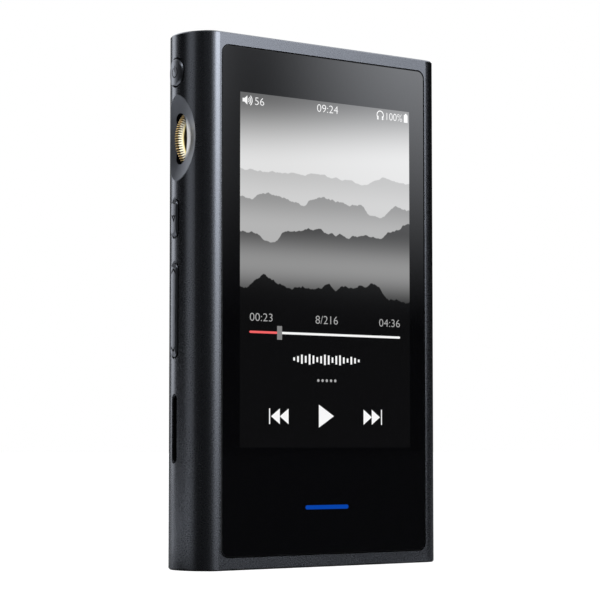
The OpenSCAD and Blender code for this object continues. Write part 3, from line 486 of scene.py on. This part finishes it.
def band(half, top, low, steps=12):
    """A paired loop from -half to half, between two heights given as functions of the place along it."""
    along = [half * (2 * i / steps - 1) for i in range(steps + 1)]
    return [(u, top(u)) for u in along] + [(u, low(u)) for u in reversed(along)]


def arc_band(x, z, r, thick, start, end, steps=14):
    """Part of a ring, from angle start to end in degrees, as a paired loop."""
    angles = [math.radians(start + (end - start) * i / steps) for i in range(steps + 1)]
    outer = [(x + (r + thick / 2) * math.cos(a), z + (r + thick / 2) * math.sin(a)) for a in angles]
    inner = [(x + (r - thick / 2) * math.cos(a), z + (r - thick / 2) * math.sin(a)) for a in angles]
    return outer + inner[::-1]


# ---------------------------------------------------------------- screen

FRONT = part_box("front_glass")[0].y / MM
SCREEN_SKIN = 0.012       # how far the picture stands in front of the glass
MARK_SKIN = 0.02          # the same for what is drawn on the picture
KNOB_SKIN = 0.028         # and for the knob on the progress bar
SCREEN_X = 24.13          # half the width of the lit area
SCREEN_LOW = 26.2
SCREEN_HIGH = 103.3
MID_X = 0.17              # middle of the lit area
STATUS_Z = 101.6          # heights of what the screen shows
TIMES_Z = 54.35
BAR_Z = 51.2
METER_Z = 45.6
DOTS_Z = 41.0
BUTTONS_Z = 33.0
MARK_Z = 13.1             # of the plain mark under the screen


def on_glass(skin):
    def place(x, z):
        return (Vector((x, FRONT - skin, z)) * MM, Vector((x, FRONT + ROOT, z)) * MM)
    return place


ON_PICTURE = on_glass(MARK_SKIN)


def lit(name, colour, strength=1.0):
    """Light shown through the glass: glossy on top, with a pixel grid that shows only close up."""
    mat, tree, bsdf = black_glass(name)
    grid = noise(tree, 14.0, 0.0)
    tree.links.new(ramp(tree, grid, [(0.2, shade(colour, 0.97)), (0.8, shade(colour, 1.03))]),
                   bsdf.inputs["Emission Color"])
    bsdf.inputs["Emission Strength"].default_value = strength
    return mat


WHITE = lit("screen_white", (0.93, 0.93, 0.93))
GREY = lit("screen_grey", (0.42, 0.42, 0.42))
MID_GREY = lit("screen_knob", (0.22, 0.22, 0.22))
RED = lit("screen_red", (0.9, 0.13, 0.13))
BLUE = lit("mark_blue", (0.0, 0.062, 0.45), 0.85)


def ridge(tree, x, base, height, scale, seed):
    """Height of a hill's crest as a function of x."""
    wave = add(tree, "ShaderNodeTexNoise", noise_dimensions="1D", scale=1.0, detail=5.0)
    tree.links.new(calc(tree, "ADD", calc(tree, "MULTIPLY", x, scale), seed), wave.inputs["W"])
    return calc(tree, "ADD", calc(tree, "MULTIPLY", wave.outputs["Fac"], height), base)


def screen_picture():
    """A misty row of hills under a pale sky, in greys that fade to black towards the bottom."""
    mat, tree, bsdf = black_glass("screen_picture")
    place = axes(tree, object_coords(tree))
    x = calc(tree, "MULTIPLY", place["X"], 1 / MM)
    z = calc(tree, "MULTIPLY", place["Z"], 1 / MM)
    # The sky is brightest above the hills and darker towards the top.
    up = smooth(tree, calc(tree, "SUBTRACT", z, calc(tree, "MULTIPLY", x, 0.08)), 89.0, 105.0)
    tone = mix(tree, up, 0.74, 0.12)
    hills = [  # base, height, scale, seed, tone at the crest, tone at the foot, haze depth
        (82.0, 10.0, 0.045, 3.1, 0.5, 0.62, 8.0),
        (75.0, 12.0, 0.06, 11.7, 0.28, 0.45, 8.0),
        (67.0, 14.0, 0.05, 23.4, 0.05, 0.42, 13.0),
        (56.0, 12.0, 0.07, 31.9, 0.012, 0.006, 8.0),
    ]
    for base, height, scale, seed, crest, foot, haze in hills:
        edge = ridge(tree, x, base, height, scale, seed)
        inside = smooth(tree, calc(tree, "SUBTRACT", edge, z), 0.0, 0.25)
        depth = calc(tree, "SUBTRACT", base + 0.6 * height, z)
        hill = mix(tree, smooth(tree, depth, 0.0, haze), crest, foot)
        tone = mix(tree, inside, tone, hill)
    tone = mix(tree, smooth(tree, z, 56.5, 70.0), 0.0025, tone)
    tree.links.new(ramp(tree, tone, [(0.0, 0.0), (1.0, 1.0)]), bsdf.inputs["Emission Color"])
    bsdf.inputs["Emission Strength"].default_value = 1.0
    return mat


def digits(name, text, x0, x1, z, height, material):
    """Plain numbers fitted between x0 and x1, centred on z."""
    curve = bpy.data.curves.new(name, "FONT")
    curve.body = text
    curve.extrude = 0.5
    curve.offset = -0.012      # slightly thinner strokes
    holder = bpy.data.objects.new(name + "_curve", curve)
    scene.collection.objects.link(holder)
    bpy.context.view_layer.update()
    mesh = bpy.data.meshes.new_from_object(holder.evaluated_get(bpy.context.evaluated_depsgraph_get()))
    bpy.data.objects.remove(holder)
    low = [min(v.co[i] for v in mesh.vertices) for i in range(2)]
    high = [max(v.co[i] for v in mesh.vertices) for i in range(2)]
    for v in mesh.vertices:
        u = (v.co.x - low[0]) / (high[0] - low[0])
        w = (v.co.y - low[1]) / (high[1] - low[1]) - 0.5
        skin = -MARK_SKIN if v.co.z > 0 else ROOT
        v.co = Vector((x0 + u * (x1 - x0), FRONT + skin, z + w * height)) * MM
    mesh.materials.clear()
    mesh.name = name
    return finish_piece(name, mesh, material, "player")


def draw_picture():
    area = rect(MID_X - SCREEN_X, SCREEN_LOW, MID_X + SCREEN_X, SCREEN_HIGH)
    prism("screen_picture", [area], on_glass(SCREEN_SKIN), screen_picture())


def draw_status():
    """Volume, clock and charge along the top."""
    z = STATUS_Z
    speaker = [(-23.35, z - 0.4), (-22.85, z - 0.4), (-22.05, z - 1.0),
               (-22.05, z + 1.0), (-22.85, z + 0.4), (-23.35, z + 0.4)]
    waves = [arc_band(-22.1, z, r, 0.22, -50, 50) for r in (0.5, 0.92, 1.34)]
    prism("speaker_symbol", [speaker] + waves, ON_PICTURE, WHITE)
    digits("volume_number", "56", -20.0, -17.5, z, 1.65, WHITE)
    digits("clock_number", "09:24", -2.7, 3.3, z + 0.15, 1.7, WHITE)
    ear_x = 15.65
    ears = [rect(ear_x + x, z - 0.85, ear_x + x + 0.42, z) for x in (-0.92, 0.5)]
    prism("headphone_symbol", [arc_band(ear_x, z + 0.2, 0.95, 0.22, -50, 230, 24)] + ears,
          ON_PICTURE, WHITE)
    digits("charge_number", "100%", 17.55, 22.2, z + 0.1, 1.65, WHITE)
    cell = [rect(22.75, z - 0.85, 23.85, z + 0.9), rect(23.05, z + 0.9, 23.55, z + 1.2)]
    prism("charge_symbol", cell, ON_PICTURE, WHITE)


def draw_progress():
    """Times, track number and the bar with its knob."""
    digits("time_played", "00:23", -21.3, -15.15, TIMES_Z + 0.1, 1.7, GREY)
    digits("track_count", "8/216", -3.15, 3.15, TIMES_Z + 0.1, 1.78, GREY)
    digits("time_total", "04:36", 15.2, 21.35, TIMES_Z + 0.05, 1.7, GREY)
    knob_x = -13.2
    prism("bar_played", [capsule(-21.4, knob_x, BAR_Z, 0.5)], ON_PICTURE, RED)
    prism("bar_left", [capsule(knob_x, 21.4, BAR_Z, 0.5)], ON_PICTURE, WHITE)
    prism("bar_knob", [rect(knob_x - 0.68, BAR_Z - 1.5, knob_x + 0.68, BAR_Z + 1.5)],
          on_glass(KNOB_SKIN), MID_GREY)


def draw_meter():
    """A level meter and dots in place of the names."""
    heights = [0.7, 1.3, 2.0, 1.5, 2.3, 1.8, 1.1, 1.6, 2.3, 2.0, 1.2, 1.9, 2.2, 1.4, 0.9, 1.7, 1.2, 0.6]
    pitch = 1.08
    half = 0.24
    left = -pitch * (len(heights) - 1) / 2
    bars = [rect(left + i * pitch - half, METER_Z - h / 2, left + i * pitch + half, METER_Z + h / 2)
            for i, h in enumerate(heights)]
    prism("level_bars", bars, ON_PICTURE, WHITE)
    prism("level_dots", [disc(1.2 * i, DOTS_Z, 0.32) for i in range(-2, 3)], ON_PICTURE, GREY)


def draw_buttons():
    """Previous, play and next."""
    z = BUTTONS_Z
    half = 1.7
    wide = 2.4
    back = [rect(-16.05, z - half, -15.77, z + half)]
    back += [[(x, z), (x + wide, z - half), (x + wide, z + half)] for x in (-15.52, -15.52 + wide)]
    prism("previous_symbol", back, ON_PICTURE, WHITE)
    prism("play_symbol", [[(-2.25, z - 2.4), (2.0, z + 0.15), (-2.25, z + 2.65)]], ON_PICTURE, WHITE)
    ahead = [rect(15.66, z - half, 15.94, z + half)]
    ahead += [[(x, z), (x - wide, z + half), (x - wide, z - half)] for x in (12.95, 12.95 + wide)]
    prism("next_symbol", ahead, ON_PICTURE, WHITE)


def draw_mark():
    """A plain mark under the screen."""
    prism("home_mark", [capsule(-6.0, 6.15, MARK_Z, 0.9)], on_glass(SCREEN_SKIN), BLUE)


draw_picture()
draw_status()
draw_progress()
draw_meter()
draw_buttons()
draw_mark()


# ---------------------------------------------------------------- symbols on the keys

SYMBOL = textured("key_symbol", (0.006, 0.006, 0.007), 0.0, 0.9, 4.0, 0.1, specular=0.1)
SYMBOL_SKIN = 0.012       # how far the symbols stand out of their keys
OUTSIDE_X = -100          # well outside the player on the left
CHEVRON_INSET = 1.6       # from the rocker's end to the tip of its symbol


def on_key(node):
    """Lays a drawing on the outer face of a key: u runs from its middle to the back, v upwards."""
    mesh = nodes[node].data
    tree = BVHTree.FromPolygons([v.co for v in mesh.vertices], [p.vertices for p in mesh.polygons])
    centre = middle_of(node)

    def place(u, v):
        start = Vector((OUTSIDE_X, centre.y + u, centre.z + v)) * MM
        hit = tree.ray_cast(start, Vector((1, 0, 0)))[0]
        return (hit + Vector((-SYMBOL_SKIN, 0, 0)) * MM, hit + Vector((ROOT, 0, 0)) * MM)
    return place


def key_symbol(name, node, loops, body):
    prism(name, loops, on_key(node), SYMBOL, body, True)


def mark_keys():
    power = [arc_band(0, 0, 1.1, 0.24, 120, 420, 30), band(0.12, lambda u: 1.45, lambda u: 0.2, 2)]
    key_symbol("power_symbol", "power_button", power, "power_key")
    arrow = band(0.95, lambda u: min(0.65, -0.2 + 1.6 * abs(u)), lambda u: -0.9 + 1.6 * abs(u))
    bar = band(0.28, lambda u: 0.65, lambda u: 0.3)
    key_symbol("play_key_symbol", "play_button", [arrow, bar], "play_key")
    low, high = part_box("track_rocker")
    reach = (high.z - low.z) / 2 / MM - CHEVRON_INSET
    chevrons = [band(0.95, lambda u: sign * (reach - 0.9 * abs(u)),
                     lambda u: sign * (reach - 0.5 - 0.9 * abs(u))) for sign in (1, -1)]
    key_symbol("track_symbols", "track_rocker", chevrons, "rocker")


mark_keys()


# ---------------------------------------------------------------- camera

CAMERA_AT = Vector((-304.752, -388.624, 26.613)) * MM
CAMERA_AZIMUTH = math.radians(-37.967)
CAMERA_TILT = math.radians(3.791)         # it looks slightly upwards
LENS = 131.92


def make_camera():
    data = bpy.data.cameras.new("camera")
    data.lens = LENS
    data.sensor_width = 36.0
    data.clip_start = 0.01
    camera = bpy.data.objects.new("camera", data)
    scene.collection.objects.link(camera)
    back = Vector((math.sin(CAMERA_AZIMUTH) * math.cos(CAMERA_TILT),
                   -math.cos(CAMERA_AZIMUTH) * math.cos(CAMERA_TILT),
                   -math.sin(CAMERA_TILT)))
    right = Vector((0, 0, 1)).cross(back).normalized()
    up = back.cross(right)
    turn = Matrix((right, up, back)).transposed().to_4x4()
    camera.matrix_world = Matrix.Translation(CAMERA_AT) @ turn
    scene.camera = camera


make_camera()


# ---------------------------------------------------------------- floor

FLOOR_HALF = 6.0                       # half its side, in metres
FLOOR_GREY = 0.35                      # its colour, except as metal and glass mirror it
FLOOR_GLOW = 1.27                      # strength of a glow that only the camera sees
GLOW_SHARE = 0.75                      # its share of what the camera sees; the rest keeps the shadow
MIRRORED_FRONT = 0.01                  # painted greys of the floor as it is mirrored: in front,
MIRRORED_BEHIND = 0.1                  # added behind,
MIRRORED_NEAR = 0.5                    # and added in a patch that the wheel mirrors, a painted pool of light
NEAR_PATCH = Vector((-160, 120, 0))    # the middle of that patch


def ray_kind(tree, *names):
    """1 for rays of any of these kinds."""
    path = add(tree, "ShaderNodeLightPath")
    total = path.outputs[names[0]]
    for name in names[1:]:
        total = calc(tree, "MAXIMUM", total, path.outputs[name])
    return total


def front_azimuth(tree, x, y):
    """Direction in degrees, counted from the front towards the left side."""
    turn = calc(tree, "ARCTAN2", calc(tree, "MULTIPLY", x, -1.0), calc(tree, "MULTIPLY", y, -1.0))
    return calc(tree, "MULTIPLY", turn, 180 / math.pi)


def mirrored_floor(tree):
    """Painted greys of the floor as metal and glass mirror it: dark in front, paler behind and a painted
    pool of light in a patch.
    """
    place = axes(tree, object_coords(tree))
    in_front = window(tree, front_azimuth(tree, place["X"], place["Y"]), low=-60, high=85, edge=12)
    behind = calc(tree, "MULTIPLY", inverse(tree, in_front), MIRRORED_BEHIND)
    patch = inverse(tree, smooth(tree, from_point(tree, NEAR_PATCH), low=100, high=150))
    paler = calc(tree, "MAXIMUM", calc(tree, "MULTIPLY", patch, MIRRORED_NEAR), behind)
    return calc(tree, "ADD", paler, MIRRORED_FRONT)


def floor_material():
    mat, tree, bsdf = new_material("floor")
    grey = mix(tree, ray_kind(tree, "Is Glossy Ray"), FLOOR_GREY, mirrored_floor(tree))
    tree.links.new(grey, bsdf.inputs["Base Color"])
    bsdf.inputs["Specular IOR Level"].default_value = 0.0
    bsdf.inputs["Roughness"].default_value = 0.9
    glow = add(tree, "ShaderNodeEmission", strength=FLOOR_GLOW)
    blend = add(tree, "ShaderNodeMixShader")
    tree.links.new(calc(tree, "MULTIPLY", ray_kind(tree, "Is Camera Ray"), GLOW_SHARE), blend.inputs["Fac"])
    tree.links.new(bsdf.outputs["BSDF"], blend.inputs[1])
    tree.links.new(glow.outputs["Emission"], blend.inputs[2])
    tree.links.new(blend.outputs["Shader"], tree.nodes["Material Output"].inputs["Surface"])
    return mat


def make_floor():
    size = FLOOR_HALF
    mesh = bpy.data.meshes.new("floor")
    corners = [(-size, -size, 0), (size, -size, 0), (size, size, 0), (-size, size, 0)]
    mesh.from_pydata(corners, [], [(0, 1, 2, 3)])
    mesh.materials.append(floor_material())
    floor = bpy.data.objects.new("floor", mesh)
    scene.collection.objects.link(floor)


make_floor()


# ---------------------------------------------------------------- studio light

# Soft boxes round the object, as directions seen from it. Azimuth is counted from the front
# towards the left side, all in degrees: middle, half width, soft edge, then the same upwards.
SOFT_BOXES = [
    # azimuth: middle, half, edge; elevation: low, high, edge; strength
    (-20, 8, 10, 13, 30, 10, 9.6),       # tall box at the front, a little to the right
    (0, 4, 12, 12, 30, 8, 1.6),          # its dim left side, which only the top of the player mirrors
    # Its small neighbour, mirrored by the right of the glass. Its low is above its high, so that the
    # two soft edges overlap, which keeps it small and dim.
    (-42, 0.5, 5.5, 14, 10, 11, 6.3),
    (35, 18, 10, 47, 72, 8, 20.0),       # high box on the left, which lights the wheel's bevel
    (98, 3, 15, -40, 12, 18, 0.76),      # soft strip on the left
    (168, 6, 10, -40, 14, 16, 2.2),      # strip behind on the left
    (-110, 20, 18, 36, 60, 12, 2.0),     # high box on the right
    (-160, 16, 18, 24, 50, 12, 1.6),     # high box behind on the right
]
SKY = 0.15                # dim light from above, strongest overhead
FILL = 0.004              # from everywhere
LIGHT_TINT = (0.96, 0.99, 1.05)


def studio_light(tree):
    """Light from every direction: the soft boxes, a dim sky and a faint fill."""
    x, y, z = axes(tree, add(tree, "ShaderNodeTexCoord").outputs["Generated"])
    azimuth = front_azimuth(tree, x, y)
    elevation = calc(tree, "MULTIPLY", calc(tree, "ARCSINE", z), 180 / math.pi)
    total = calc(tree, "ADD", calc(tree, "MULTIPLY", smooth(tree, elevation, 50, 90), SKY), FILL)
    for middle, half, edge, low, high, soft, strength in SOFT_BOXES:
        off = add(tree, "ShaderNodeMath", operation="WRAP")
        tree.links.new(calc(tree, "SUBTRACT", azimuth, middle), off.inputs[0])
        off.inputs[1].default_value = 180.0
        off.inputs[2].default_value = -180.0
        side = window(tree, off.outputs["Value"], -half, half, edge)
        box = calc(tree, "MULTIPLY", side, window(tree, elevation, low, high, soft))
        total = calc(tree, "ADD", total, calc(tree, "MULTIPLY", box, strength))
    return total


def make_world():
    """White where the camera looks, the studio's light for everything else."""
    world = bpy.data.worlds.new("studio")
    scene.world = world
    world.use_nodes = True
    tree = world.node_tree
    light = tree.nodes["Background"]
    tint = add(tree, "ShaderNodeVectorMath", operation="SCALE")
    tint.inputs[0].default_value = LIGHT_TINT
    tree.links.new(studio_light(tree), tint.inputs["Scale"])
    tree.links.new(tint.outputs["Vector"], light.inputs["Color"])
    white = add(tree, "ShaderNodeBackground", color=(1, 1, 1, 1))
    both = add(tree, "ShaderNodeMixShader")
    tree.links.new(ray_kind(tree, "Is Camera Ray", "Is Transmission Ray"), both.inputs["Fac"])
    tree.links.new(light.outputs["Background"], both.inputs[1])
    tree.links.new(white.outputs["Background"], both.inputs[2])
    tree.links.new(both.outputs["Shader"], tree.nodes["World Output"].inputs["Surface"])


make_world()
